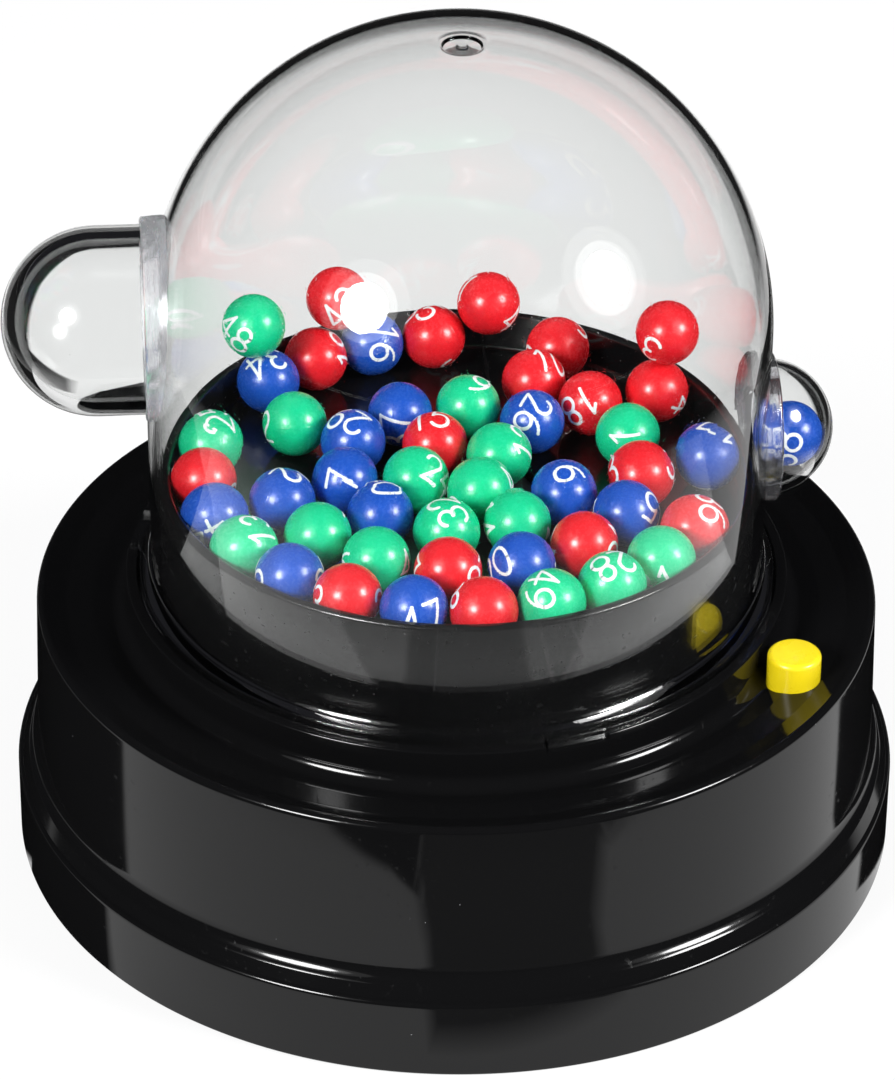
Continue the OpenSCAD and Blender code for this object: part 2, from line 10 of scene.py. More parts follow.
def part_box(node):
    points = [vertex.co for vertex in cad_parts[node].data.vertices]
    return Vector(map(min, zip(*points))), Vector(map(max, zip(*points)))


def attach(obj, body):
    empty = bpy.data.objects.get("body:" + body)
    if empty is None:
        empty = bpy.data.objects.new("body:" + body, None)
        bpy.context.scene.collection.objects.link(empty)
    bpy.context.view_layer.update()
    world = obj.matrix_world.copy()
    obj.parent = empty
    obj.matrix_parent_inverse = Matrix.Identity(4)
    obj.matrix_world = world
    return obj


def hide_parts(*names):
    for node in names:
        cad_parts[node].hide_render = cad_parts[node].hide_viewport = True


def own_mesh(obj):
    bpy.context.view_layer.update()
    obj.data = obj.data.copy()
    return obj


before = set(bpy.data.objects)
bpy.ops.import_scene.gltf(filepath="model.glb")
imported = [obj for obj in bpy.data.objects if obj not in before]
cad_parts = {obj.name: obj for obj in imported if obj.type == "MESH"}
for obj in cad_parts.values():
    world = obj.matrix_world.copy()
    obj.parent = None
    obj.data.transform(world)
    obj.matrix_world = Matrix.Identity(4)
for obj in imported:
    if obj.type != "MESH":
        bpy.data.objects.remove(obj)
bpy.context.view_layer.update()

# ---- sizes of the machine, in millimetres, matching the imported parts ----
MM = 0.001
ROUND = 288                        # steps round a turned piece
ARC_STEP = 7.5                     # degrees between points on a turned fillet
SHARP = math.radians(33)
RUN = 1.25                         # a longer span between two outline points is a straight run

ring_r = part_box("base_housing")[1].x / MM
inner_ring_r = ring_r - 2.2
ring_h = 13.0
drum_low_r = 64.9
drum_top_r = 64.2
drum_h = 41.8
wall = 2.2
collar_r = 50.5
collar_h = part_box("base_housing")[1].z / MM
trough_h = 39.6
face_h = 40.6
face_under = face_h - wall
ledge_top = 43.0
ledge_under = 41.0
ledge_r = 37.4

dome_r = 46.6
dome_wall = 1.2
dome_in_r = dome_r - dome_wall
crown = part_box("dome")[1].z / MM
spring_h = crown - dome_r
foot_r = 48.35
foot_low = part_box("dome")[0].z / MM
foot_high = 46.5
lug_turns = (-74, 46, 166)
lug_w = 9.4
lug_r = 50.0
lug_low = 44.9
lug_high = 46.2

tub_r = 45.0
tub_wall = 1.55
tub_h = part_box("ball_tub")[1].z / MM
floor_h = 57.6
floor_t = 1.8
recess_r = 13.0
recess_h = 54.6
tub_low = 43.02

big_r = 14.1
big_wall = 2.0
big_h = (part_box("big_pocket")[0].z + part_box("big_pocket")[1].z) / 2 / MM
big_reach = -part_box("big_pocket")[0].x / MM - big_r
big_ring_r = 15.4
big_ring_x = 46.9
small_wall = 0.9
small_r = 10.3
small_h = (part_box("small_pocket")[0].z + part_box("small_pocket")[1].z) / 2 / MM
small_ring_r = 11.5
small_ring_x = 48.0
small_x = small_ring_x - 1.5
throat_r = 5.9
bond = 0.03

button_r = 4.05
button_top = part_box("button_cap")[1].z / MM
button_turn = -29.4
button_reach = 55.6
flange_r = 5.0
flange_top = face_under - 0.25
coil_r = 2.9                       # to the middle of the spring's wire
coil_wire_r = 0.28
coil_turns = 3

post_r = 3.5
post_turns = (30, 150, 270)        # screw posts under the top face
post_reach = 57.5
tub_post_r = 3.1
tub_post_turns = (-44, 76, 196)    # screw posts under the tub's floor
tub_post_reach = 40.6

# ---- camera and studio ----
CAMERA_TURN = -95.0                # degrees from +X, in the row frame
CAMERA_RISE = 33.76
CAMERA_REACH = 0.801
CAMERA_PIVOT = Vector((0, 0, 0.040))
CAMERA_AIM = Vector((-0.00103, 0.00451, 0.04659))
CAMERA_ROLL = math.radians(0.57)
CAMERA_LENS = 173.9
STUDIO_TURN = math.radians(CAMERA_TURN + 90)


def studio(x, y, z=0.0):
    """A point given as the camera sees it, +X to the right and +Y away, turned into the row frame."""
    return Matrix.Rotation(STUDIO_TURN, 4, "Z") @ Vector((x, y, z))


def add_camera():
    data = bpy.data.cameras.new("camera")
    data.lens = CAMERA_LENS
    data.clip_start = 0.05
    data.clip_end = 20
    camera = bpy.data.objects.new("camera", data)
    bpy.context.scene.collection.objects.link(camera)
    turn = math.radians(CAMERA_TURN)
    rise = math.radians(CAMERA_RISE)
    out = Vector((math.cos(rise) * math.cos(turn), math.cos(rise) * math.sin(turn), math.sin(rise)))
    camera.location = CAMERA_PIVOT + CAMERA_REACH * out
    aim = (CAMERA_AIM - camera.location).to_track_quat("-Z", "Y").to_matrix().to_4x4()
    camera.matrix_world = Matrix.Translation(camera.location) @ aim @ Matrix.Rotation(CAMERA_ROLL, 4, "Z")
    bpy.context.scene.camera = camera


def add_light(name, way, reach, radius, watts):
    data = bpy.data.lights.new(name, "AREA")
    data.shape = "DISK"
    data.size = 2 * radius
    data.energy = watts
    light = bpy.data.objects.new(name, data)
    bpy.context.scene.collection.objects.link(light)
    place = studio(*way).normalized() * reach
    light.matrix_world = Matrix.Translation(place) @ (Vector((0, 0, 0.06)) - place).to_track_quat(
        "-Z", "Y").to_matrix().to_4x4()
    return light


# ---- meshes ----

def mesh_object(name, verts, faces, smooth=True):
    mesh = bpy.data.meshes.new(name)
    mesh.from_pydata(verts, [], faces)
    mesh.validate()
    piece = bpy.data.objects.new(name, mesh)
    bpy.context.scene.collection.objects.link(piece)
    if smooth:
        shade(piece)
    return piece


def shade(piece, angle=SHARP):
    for face in piece.data.polygons:
        face.use_smooth = True
    piece.data.set_sharp_from_angle(angle=angle)


def outward(piece):
    """Turns every face of a closed mesh to face out."""
    work = bmesh.new()
    work.from_mesh(piece.data)
    bmesh.ops.remove_doubles(work, verts=work.verts, dist=1e-7)
    bmesh.ops.recalc_face_normals(work, faces=work.faces)
    work.to_mesh(piece.data)
    work.free()


def arc(cx, cz, r, a0, a1):
    steps = max(2, math.ceil(abs(a1 - a0) / ARC_STEP))
    turns = [math.radians(a0 + (a1 - a0) * i / steps) for i in range(steps + 1)]
    return [(cx + r * math.cos(a), cz + r * math.sin(a)) for a in turns]


def held(points, gap=0.07):
    """Adds a point close to each end of every long straight run, so that fillets don't bend its shading."""
    out = []
    for i, p in enumerate(points):
        q = points[(i + 1) % len(points)]
        span = math.dist(p, q)
        out.append(p)
        if span > RUN:
            for share in (gap / span, 1 - gap / span):
                out.append((p[0] + (q[0] - p[0]) * share, p[1] + (q[1] - p[1]) * share))
    return out


def turned(name, outline, steps=ROUND, place=None):
    """A closed solid turned from a closed outline of (radius, height) points about +Z, in millimetres."""
    verts = []
    rings = []
    for r, z in held(outline):
        if r < 1e-6:
            rings.append([len(verts)] * steps)
            verts.append((0, 0, z * MM))
        else:
            rings.append(range(len(verts), len(verts) + steps))
            for j in range(steps):
                a = 2 * math.pi * j / steps
                verts.append((r * MM * math.cos(a), r * MM * math.sin(a), z * MM))
    faces = []
    for i, low in enumerate(rings):
        high = rings[(i + 1) % len(rings)]
        for j in range(steps):
            k = (j + 1) % steps
            corners = []
            for v in (low[j], low[k], high[k], high[j]):
                if v not in corners:
                    corners.append(v)
            if len(corners) > 2:
                faces.append(corners)
    piece = mesh_object(name, verts, faces, smooth=False)
    if place is not None:
        piece.data.transform(place)
    outward(piece)
    shade(piece)
    return piece


def block(x0, x1, y0, y1, z0, z1, place):
    verts = [(x * MM, y * MM, z * MM) for x in (x0, x1) for y in (y0, y1) for z in (z0, z1)]
    faces = [(0, 1, 3, 2), (4, 6, 7, 5), (0, 4, 5, 1), (2, 3, 7, 6), (0, 2, 6, 4), (1, 5, 7, 3)]
    piece = mesh_object("block", verts, faces, smooth=False)
    piece.data.transform(place)
    outward(piece)
    return piece


def drum(r, low, high, place, steps=96):
    return turned("drum", [(0, low), (r, low), (r, high), (0, high)], steps, place)


def at(turn, reach):
    """A place on the base plane, by its direction in degrees and its distance from the axis."""
    spot = Matrix.Translation((reach * MM, 0, 0))
    return Matrix.Rotation(math.radians(turn), 4, "Z") @ spot


def along_x(sign, height):
    """Turns local +Z to point along +X or -X, at a height."""
    return Matrix.Translation((0, 0, height * MM)) @ Matrix.Rotation(sign * math.pi / 2, 4, "Y")


def join(pieces):
    work = bmesh.new()
    for piece in pieces:
        work.from_mesh(piece.data)
    work.to_mesh(pieces[0].data)
    work.free()
    for piece in pieces[1:]:
        bpy.data.objects.remove(piece)
    return pieces[0]


def combine(piece, other, operation):
    """Cuts, adds or keeps the overlap of another closed mesh, and throws the other mesh away."""
    step = piece.modifiers.new("combine", "BOOLEAN")
    step.object = other
    step.operation = operation
    step.solver = "EXACT"
    step.use_self = False
    ready = piece.evaluated_get(bpy.context.evaluated_depsgraph_get())
    mesh = bpy.data.meshes.new_from_object(ready)
    piece.modifiers.clear()
    piece.data = mesh
    bpy.data.objects.remove(other)
    shade(piece)
    return piece


# ---- materials ----

class Look:
    """A Principled material with a few short helpers for its nodes."""

    def __init__(self, name, color, roughness, metallic=0.0):
        self.material = bpy.data.materials.new(name)
        self.material.use_nodes = True
        self.tree = self.material.node_tree
        self.shader = self.tree.nodes["Principled BSDF"]
        self.output = self.tree.nodes["Material Output"]
        self.set("Base Color", (*color, 1))
        self.set("Roughness", roughness)
        self.set("Metallic", metallic)
        self.base = color
        self.place = self.node("ShaderNodeTexCoord").outputs["Object"]
        self.height = None

    def node(self, kind, **values):
        made = self.tree.nodes.new(kind)
        for key, value in values.items():
            setattr(made, key, value)
        return made

    def link(self, a, b):
        self.tree.links.new(a, b)

    def set(self, socket, value):
        self.shader.inputs[socket].default_value = value

    def scaled(self, scale, turn=(0, 0, 0)):
        mapping = self.node("ShaderNodeMapping")
        mapping.inputs["Scale"].default_value = scale
        mapping.inputs["Rotation"].default_value = turn
        self.link(self.place, mapping.inputs["Vector"])
        return mapping.outputs[0]

    def noise(self, scale, detail=2.0, rough=0.5, place=None):
        made = self.node("ShaderNodeTexNoise")
        made.inputs["Scale"].default_value = scale
        made.inputs["Detail"].default_value = detail
        made.inputs["Roughness"].default_value = rough
        self.link(place or self.place, made.inputs["Vector"])
        return made.outputs["Fac"]

    def ranged(self, value, low, high, to_low=0.0, to_high=1.0):
        made = self.node("ShaderNodeMapRange")
        for socket, number in zip(("From Min", "From Max", "To Min", "To Max"), (low, high, to_low, to_high)):
            made.inputs[socket].default_value = number
        self.link(value, made.inputs["Value"])
        return made.outputs[0]

    def math(self, operation, a, b=None):
        made = self.node("ShaderNodeMath", operation=operation)
        for socket, value in zip(made.inputs, (a, b)):
            if value is None:
                continue
            if isinstance(value, (int, float)):
                socket.default_value = value
            else:
                self.link(value, socket)
        return made.outputs[0]

    def mixed(self, share, first, second):
        """Mixes two colours, each a triple or a socket, by a share."""
        made = self.node("ShaderNodeMix", data_type="RGBA")
        self.link(share, made.inputs["Factor"])
        for socket, value in ((made.inputs[6], first), (made.inputs[7], second)):
            if isinstance(value, tuple):
                socket.default_value = (*value, 1)
            else:
                self.link(value, socket)
        return made.outputs[2]

    def color(self, socket):
        self.link(socket, self.shader.inputs["Base Color"])
        return socket

    def rough(self, socket):
        self.link(socket, self.shader.inputs["Roughness"])

    def bump(self, height, depth, strength=1.0):
        """Adds relief of a height field from 0 to 1 whose full range is depth millimetres."""
        made = self.node("ShaderNodeBump")
        made.inputs["Strength"].default_value = strength
        made.inputs["Distance"].default_value = depth * MM
        self.link(height, made.inputs["Height"])
        if self.height is not None:
            self.link(self.height, made.inputs["Normal"])
        self.height = made.outputs[0]
        self.link(self.height, self.shader.inputs["Normal"])

    def specks(self, scale, size, share):
        """1 on sparse tiny dots, 0 elsewhere."""
        cells = self.node("ShaderNodeTexVoronoi")
        cells.inputs["Scale"].default_value = scale
        self.link(self.place, cells.inputs["Vector"])
        dot = self.math("LESS_THAN", cells.outputs["Distance"], size)
        split = self.node("ShaderNodeSeparateColor")
        self.link(cells.outputs["Color"], split.inputs[0])
        chosen = self.math("LESS_THAN", split.outputs[0], share)
        return self.math("MULTIPLY", dot, chosen)

    def scratches(self, turn, scale=900, stretch=0.02, low=0.70):
        """Thin streaks: 1 along them, 0 elsewhere."""
        lines = self.noise(1.0, 1.0, 0.5, self.scaled((scale, scale * stretch, scale), turn))
        return self.ranged(lines, low, low + 0.04)

    def let_light_through(self, tint):
        """Lets lamps and bounced light pass straight through clear plastic."""
        surface = self.shader.outputs[0]
        path = self.node("ShaderNodeLightPath")
        for ray in ("Is Diffuse Ray", "Is Shadow Ray"):
            open_side = self.node("ShaderNodeBsdfTransparent")
            open_side.inputs[0].default_value = (*tint, 1)
            mix = self.node("ShaderNodeMixShader")
            self.link(path.outputs[ray], mix.inputs[0])
            self.link(surface, mix.inputs[1])
            self.link(open_side.outputs[0], mix.inputs[2])
            surface = mix.outputs[0]
        self.link(surface, self.output.inputs["Surface"])


def gloss_black(name, roughness, dust, ior):
    look = Look(name, (0.0032, 0.0032, 0.0034), roughness)
    hairs = look.math("MAXIMUM", look.scratches((0.3, 0.2, 0.5)), look.scratches((1.3, 0.4, 2.1), 1300))
    cloud = look.ranged(look.noise(60, 4), 0.3, 0.7, roughness * 0.75, roughness * 1.3)
    look.rough(look.math("ADD", cloud, look.math("MULTIPLY", hairs, 0.12)))
    grains = look.specks(420, 0.035, dust)
    look.color(look.mixed(grains, look.base, (0.22, 0.22, 0.23)))
    look.bump(look.noise(130, 2), 0.012, 0.35)
    look.bump(grains, 0.02, 0.6)
    look.set("IOR", ior)
    return look.material


def satin_black(name):
    look = Look(name, (0.012, 0.012, 0.013), 0.42)
    cloud = look.ranged(look.noise(90, 4), 0.35, 0.7)
    look.color(look.mixed(cloud, (0.010, 0.010, 0.011), (0.020, 0.020, 0.021)))
    look.rough(look.ranged(look.noise(300, 3), 0.3, 0.7, 0.36, 0.5))
    look.bump(look.noise(3600, 3, 0.6), 0.03, 0.5)
    look.bump(look.scratches((0.2, 0.1, 0.9)), 0.01, 0.4)
    return look.material


def clear_plastic(name, wave=0.03):
    look = Look(name, (0.945, 0.952, 0.948), 0.012)
    look.set("Transmission Weight", 1.0)
    look.set("IOR", 1.49)
    look.bump(look.noise(26, 1.5), wave, 1.0)
    look.bump(look.scratches((0.7, 0.2, 1.1), 1500), 0.004, 0.3)
    look.rough(look.math("ADD", look.math("MULTIPLY", look.specks(380, 0.03, 0.10), 0.5), 0.01))
    look.let_light_through((0.93, 0.935, 0.93))
    return look.material


def frosted_plastic(name, clarity, low_rough, high_rough):
    look = Look(name, (0.90, 0.91, 0.93), 0.16)
    look.set("Transmission Weight", clarity)
    look.set("IOR", 1.49)
    streaks = look.noise(1.0, 5, 0.6, look.scaled((1400, 130, 130)))
    look.rough(look.ranged(streaks, 0.35, 0.7, low_rough, high_rough))
    cloud = look.ranged(look.noise(260, 4), 0.35, 0.65)
    look.color(look.mixed(cloud, (0.84, 0.85, 0.89), (0.95, 0.95, 0.96)))
    look.bump(streaks, 0.30, 0.7)
    look.bump(look.noise(420, 4, 0.6), 0.2, 0.5)
    look.let_light_through((0.86, 0.86, 0.88))
    return look.material


def ball_plastic(name, color):
    look = Look(name, color, 0.26)
    spin = look.node("ShaderNodeAttribute", attribute_name="ball_place").outputs["Vector"]
    parts = look.node("ShaderNodeSeparateXYZ")
    look.link(spin, parts.inputs[0])
    swirl = look.ranged(look.noise(2.2, 4, 0.55, spin), 0.35, 0.68)
    deep = tuple(0.95 * c for c in color)
    pale = tuple(min(1.0, 1.03 * c + 0.003) for c in color)
    look.color(look.mixed(swirl, deep, pale))
    look.rough(look.ranged(look.noise(9, 3, 0.5, spin), 0.3, 0.7, 0.2, 0.33))
    seam = look.ranged(look.math("ABSOLUTE", parts.outputs["Z"]), 0.004, 0.02, 1.0, 0.0)
    look.bump(seam, 0.025, 0.7)
    pole = look.ranged(parts.outputs["X"], 0.988, 0.992)
    look.bump(pole, 0.05, 0.7)
    look.bump(look.noise(14, 3, 0.6, spin), 0.003, 0.35)
    look.set("Subsurface Weight", 0.06)
    look.set("Subsurface Radius", (0.9, 0.5, 0.3))
    look.set("Subsurface Scale", 0.0006)
    return look.material


def print_ink(name):
    look = Look(name, (0.80, 0.83, 0.83), 0.42)
    cloud = look.ranged(look.noise(1500, 3), 0.35, 0.7)
    look.color(look.mixed(cloud, (0.70, 0.74, 0.75), (0.88, 0.90, 0.90)))
    look.bump(look.noise(4000, 2), 0.01, 0.4)
    return look.material


def moulded(name, color, roughness=0.38, relief=0.012):
    look = Look(name, color, roughness)
    deep = tuple(0.9 * c for c in color)
    look.color(look.mixed(look.ranged(look.noise(160, 4), 0.35, 0.68), deep, color))
    look.rough(look.ranged(look.noise(240, 3), 0.3, 0.7, roughness * 0.8, roughness * 1.25))
    look.bump(look.noise(700, 3), relief, 0.5)
    return look.material


def metal(name, color, roughness, grain=(900, 60, 900)):
    look = Look(name, color, roughness, 1.0)
    brushed = look.noise(1.0, 4, 0.6, look.scaled(grain))
    look.rough(look.ranged(brushed, 0.3, 0.7, roughness * 0.7, roughness * 1.4))
    dull = tuple(0.78 * c for c in color)
    look.color(look.mixed(look.ranged(look.noise(140, 4), 0.4, 0.7), color, dull))
    look.bump(brushed, 0.01, 0.5)
    return look.material


def cell_sleeve(name):
    """Printed sleeve with a pale band, and steel at the two ends."""
    look = Look(name, (0.02, 0.09, 0.05), 0.3)
    parts = look.node("ShaderNodeSeparateXYZ")
    look.link(look.place, parts.inputs[0])
    across = look.math("ABSOLUTE", look.math("ADD", parts.outputs["X"], 0.0009))
    band = look.ranged(across, 0.0078, 0.0080, 1.0, 0.0)
    face = look.node("ShaderNodeSeparateXYZ")
    look.link(look.node("ShaderNodeNewGeometry").outputs["Normal"], face.inputs[0])
    ends = look.math("MAXIMUM", look.ranged(look.math("ABSOLUTE", face.outputs["X"]), 0.80, 0.86),
                     look.ranged(across, 0.02435, 0.0244))
    sleeve = look.mixed(band, (0.02, 0.10, 0.05), (0.62, 0.60, 0.50))
    look.color(look.mixed(ends, sleeve, (0.62, 0.62, 0.63)))
    look.link(ends, look.shader.inputs["Metallic"])
    look.bump(look.noise(500, 2), 0.01, 0.3)
    return look.material


def solder_mask(name):
    look = Look(name, (0.01, 0.10, 0.035), 0.3)
    cells = look.node("ShaderNodeTexVoronoi", feature="DISTANCE_TO_EDGE")
    cells.inputs["Scale"].default_value = 260
    look.link(look.place, cells.inputs["Vector"])
    track = look.ranged(cells.outputs["Distance"], 0.10, 0.13)
    look.color(look.mixed(track, (0.02, 0.17, 0.06), (0.006, 0.07, 0.025)))
    look.bump(track, 0.03, 0.6)
    return look.material


looks = {
    "black_gloss": gloss_black("black_gloss_look", 0.075, 0.08, 1.36),
    "tub_black": gloss_black("tub_black_look", 0.16, 0.45, 1.6),
    "black_satin": satin_black("black_satin_look"),
    "clear": clear_plastic("clear_look"),
    "frosted": frosted_plastic("frosted_look", 0.93, 0.05, 0.34),
    "hazy": frosted_plastic("hazy_look", 0.99, 0.01, 0.10),
    "button_yellow": moulded("button_yellow_look", (0.72, 0.56, 0.008), 0.27),
    "ball_red": ball_plastic("ball_red_look", (0.70, 0.012, 0.020)),
    "ball_green": ball_plastic("ball_green_look", (0.006, 0.53, 0.24)),
    "ball_blue": ball_plastic("ball_blue_look", (0.009, 0.072, 0.42)),
    "white_print": print_ink("white_print_look"),
    "white_plastic": moulded("white_plastic_look", (0.78, 0.78, 0.74), 0.4),
    "zinc": metal("zinc_look", (0.66, 0.67, 0.70), 0.3, (300, 300, 300)),
    "nickel": metal("nickel_look", (0.72, 0.69, 0.64), 0.22),
    "motor_steel": metal("motor_steel_look", (0.62, 0.62, 0.64), 0.28, (60, 60, 1200)),
    "ferrite": moulded("ferrite_look", (0.045, 0.042, 0.042), 0.6, 0.05),
    "brass": metal("brass_look", (0.80, 0.60, 0.28), 0.3),
    "cell_wrap": cell_sleeve("cell_wrap_look"),
    "board": solder_mask("board_look"),
    "wire_red": moulded("wire_red_look", (0.55, 0.012, 0.012), 0.4),
    "wire_black": moulded("wire_black_look", (0.012, 0.012, 0.012), 0.4),
    "wire_yellow": moulded("wire_yellow_look", (0.70, 0.48, 0.02), 0.4),
}


def finish_piece(piece, body, look, slot, *nodes):
    """Gives a piece its look and its body, and hides the CAD nodes that it stands for. The slot is not used.
    """
    piece.data.materials.clear()
    piece.data.materials.append(looks[look])
    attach(piece, body)
    if nodes:
        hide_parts(*nodes)
    return piece


# ---- base ----

def housing_outline():
    lip = 0.9
    cove = 3.4
    return (
        [(inner_ring_r, 0)]
        + arc(ring_r - 0.4, 0.4, 0.4, -90, 0)
        + arc(ring_r - 0.9, ring_h - 0.9, 0.9, 0, 78)
        + arc(drum_low_r + 3.3, ring_h + 4.6, cove, 236, 180)
        + arc(drum_top_r - lip, drum_h - lip, lip, 1, 118)
        + [(drum_top_r - 4.4, face_h + 0.12), (collar_r + 5.2, face_h - 0.3)]
        + arc(collar_r + 2.1, trough_h + 2.1, 2.1, 275, 180)
        + arc(collar_r - 0.35, collar_h - 0.35, 0.35, 0, 90)
        + arc(collar_r - 1.75 + 0.25, collar_h - 0.25, 0.25, 90, 180)
        + [(collar_r - 1.75, ledge_top), (ledge_r, ledge_top), (ledge_r, ledge_under)]
        + [(collar_r - wall - 0.3, ledge_under), (collar_r - wall - 0.3, trough_h - wall)]
        + [(collar_r + 4, face_under - 0.3), (drum_top_r - 3.6, face_under)]
        + [(drum_top_r - wall, face_under - 1.2), (drum_low_r - wall, ring_h + 3)]
        + [(inner_ring_r, ring_h - 1.4)]
    )


def make_housing():
    piece = turned("housing_shell", housing_outline())
    for turn in post_turns:
        combine(piece, drum(post_r, 3.3, face_under + 0.2, at(turn, post_reach), 48), "UNION")
    cuts = [drum(button_r + 0.1, face_under - 4, drum_h + 2, at(button_turn, button_reach))]
    cuts += [drum(1.1, -1, 16, at(turn, post_reach), 32) for turn in post_turns]
    for turn in lug_turns:
        cuts.append(block(-3, 3, -lug_w / 2 - 0.3, lug_w / 2 + 0.3, lug_low - 0.3, lug_low + 3,
                          at(turn, collar_r - 1)))
    combine(piece, join(cuts), "DIFFERENCE")
    return finish_piece(piece, "base", "black_gloss", "black_gloss", "base_housing")


def make_tub():
    rim = 0.55
    tub_in_r = tub_r - tub_wall
    outline = (
        [(tub_r, tub_low)]
        + arc(tub_r - rim, tub_h - rim, rim, 0, 90)
        + arc(tub_in_r + rim, tub_h - rim, rim, 90, 180)
        + arc(tub_in_r - 0.8, floor_h + 0.8, 0.8, 0, -90)
        + arc(recess_r + 0.3, floor_h - 0.3, 0.3, 90, 180)
        + [(recess_r, recess_h), (1.6, recess_h), (1.6, recess_h - floor_t)]
        + [(recess_r + floor_t, recess_h - floor_t), (recess_r + floor_t, floor_h - floor_t)]
        + [(tub_in_r - 0.2, floor_h - floor_t), (tub_in_r - 0.2, tub_low)]
    )
    piece = turned("tub_shell", outline)
    for turn in tub_post_turns:
        post = drum(tub_post_r, tub_low + 0.5, floor_h - 1, at(turn, tub_post_reach), 48)
        combine(piece, post, "UNION")
    return finish_piece(piece, "base", "tub_black", "black_gloss", "ball_tub")


def make_button():
    edge = 0.8
    crowned = 0.12
    outline = (
        [(0, flange_top - 1), (flange_r, flange_top - 1), (flange_r, flange_top), (button_r, flange_top)]
        + arc(button_r - edge, button_top - crowned - edge, edge, 0, 84)
        + [(button_r * 0.5, button_top - 0.35 * crowned), (0, button_top)]
    )
    piece = turned("button_top", outline, 128, at(button_turn, button_reach))
    return finish_piece(piece, "button", "button_yellow", "button_yellow", "button_cap")


def make_spring():
    """The button's return spring."""
    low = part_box("button_spring")[0].z / MM
    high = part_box("button_spring")[1].z / MM
    climb = high - low - 2 * coil_wire_r
    steps = 36 * coil_turns
    sides = 14
    place = at(button_turn, button_reach)
    verts = []
    for i in range(steps + 1):
        a = 2 * math.pi * coil_turns * i / steps
        out = Vector((math.cos(a), math.sin(a), 0))
        middle = coil_r * out + Vector((0, 0, low + coil_wire_r + climb * i / steps))
        for k in range(sides):
            b = 2 * math.pi * k / sides
            spot = middle + coil_wire_r * (math.cos(b) * out + Vector((0, 0, math.sin(b))))
            verts.append(place @ (spot * MM))
    faces = []
    for i in range(steps):
        for k in range(sides):
            n = (k + 1) % sides
            faces.append((i * sides + k, i * sides + n, (i + 1) * sides + n, (i + 1) * sides + k))
    faces.append(tuple(range(sides)))
    faces.append(tuple(reversed(range(steps * sides, (steps + 1) * sides))))
    piece = mesh_object("button_coil", verts, faces)
    finish_piece(piece, "base", "nickel", "nickel", "button_spring")
    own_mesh(piece)


# ---- dome and pockets ----

def make_dome():
    flare = 2.4
    dimple_r = 3.5
    dimple = 0.35
    edge = 0.25
    flare_low = math.degrees(math.asin(min(1.0, (flare - 0.7) / flare)))
    lip = math.degrees(math.asin(dimple_r / dome_r))
    outline = (
        arc(foot_r - edge, foot_low + edge, edge, -90, 0)
        + arc(foot_r - edge, foot_high - edge, edge, 0, 90)
        + arc(dome_r + flare, foot_high + flare, flare, 270 - flare_low, 180)
        + arc_of_dome(dome_r, 0, 90 - lip - 0.2)
        + arc(dimple_r - 0.45, crown - 0.28, 0.15, 60, 180)
        + arc(dimple_r - 0.9, crown - dimple + 0.02, 0.3, 0, -60)
        + [(1.5, crown - dimple), (1.0, crown - dimple + 0.03)]
        + arc(0.62, crown - 0.2, 0.18, 0, 90)
        + [(0, crown - 0.02)]
        + list(reversed(arc_of_dome(dome_in_r, 0, 90)))
        + [(dome_in_r, foot_low)]
    )
    piece = turned("dome_shell", outline)
    for turn in lug_turns:
        lug = block(-1, lug_r - foot_r, -lug_w / 2, lug_w / 2, lug_low, lug_high, at(turn, foot_r))
        combine(piece, lug, "UNION")
    cuts = [drum(big_r - big_wall, 30, 60, along_x(-1, big_h), 160),
            drum(throat_r, 30, 60, along_x(1, small_h), 128)]
    combine(piece, join(cuts), "DIFFERENCE")
    return finish_piece(piece, "dome", "clear", "clear", "dome")


def arc_of_dome(r, low, high):
    steps = 66
    turns = [math.radians(low + (high - low) * i / steps) for i in range(steps + 1)]
    return [(r * math.cos(a) if a < math.pi / 2 - 1e-9 else 0.0, spring_h + r * math.sin(a)) for a in turns]


def round_end(r, middle, first, count):
    """Outline points of a ball's skin, from a first direction in degrees up to its tip."""
    return [(r * math.cos(math.radians(a)) if a < 90 else 0.0, middle + r * math.sin(math.radians(a)))
            for a in np.linspace(first, 90, count)]


def make_big_pocket():
    start = big_ring_x + bond
    inner = big_r - big_wall
    outline = (
        [(inner, start), (big_r, start)]
        + round_end(big_r, big_reach, 0, 25)
        + round_end(inner, big_reach, 0, 25)[::-1]
    )
    piece = turned("big_pocket_shell", outline, 192, along_x(-1, big_h))
    return finish_piece(piece, "dome", "clear", "clear", "big_pocket")


def make_small_pocket():
    start = small_ring_x + bond

    def skin(r):
        return round_end(r, small_x, math.degrees(math.asin((start - small_x) / r)), 33)

    outline = skin(small_r) + skin(small_r - small_wall)[::-1]
    piece = turned("small_pocket_shell", outline, 160, along_x(1, small_h))
    return finish_piece(piece, "dome", "clear", "clear", "small_pocket")


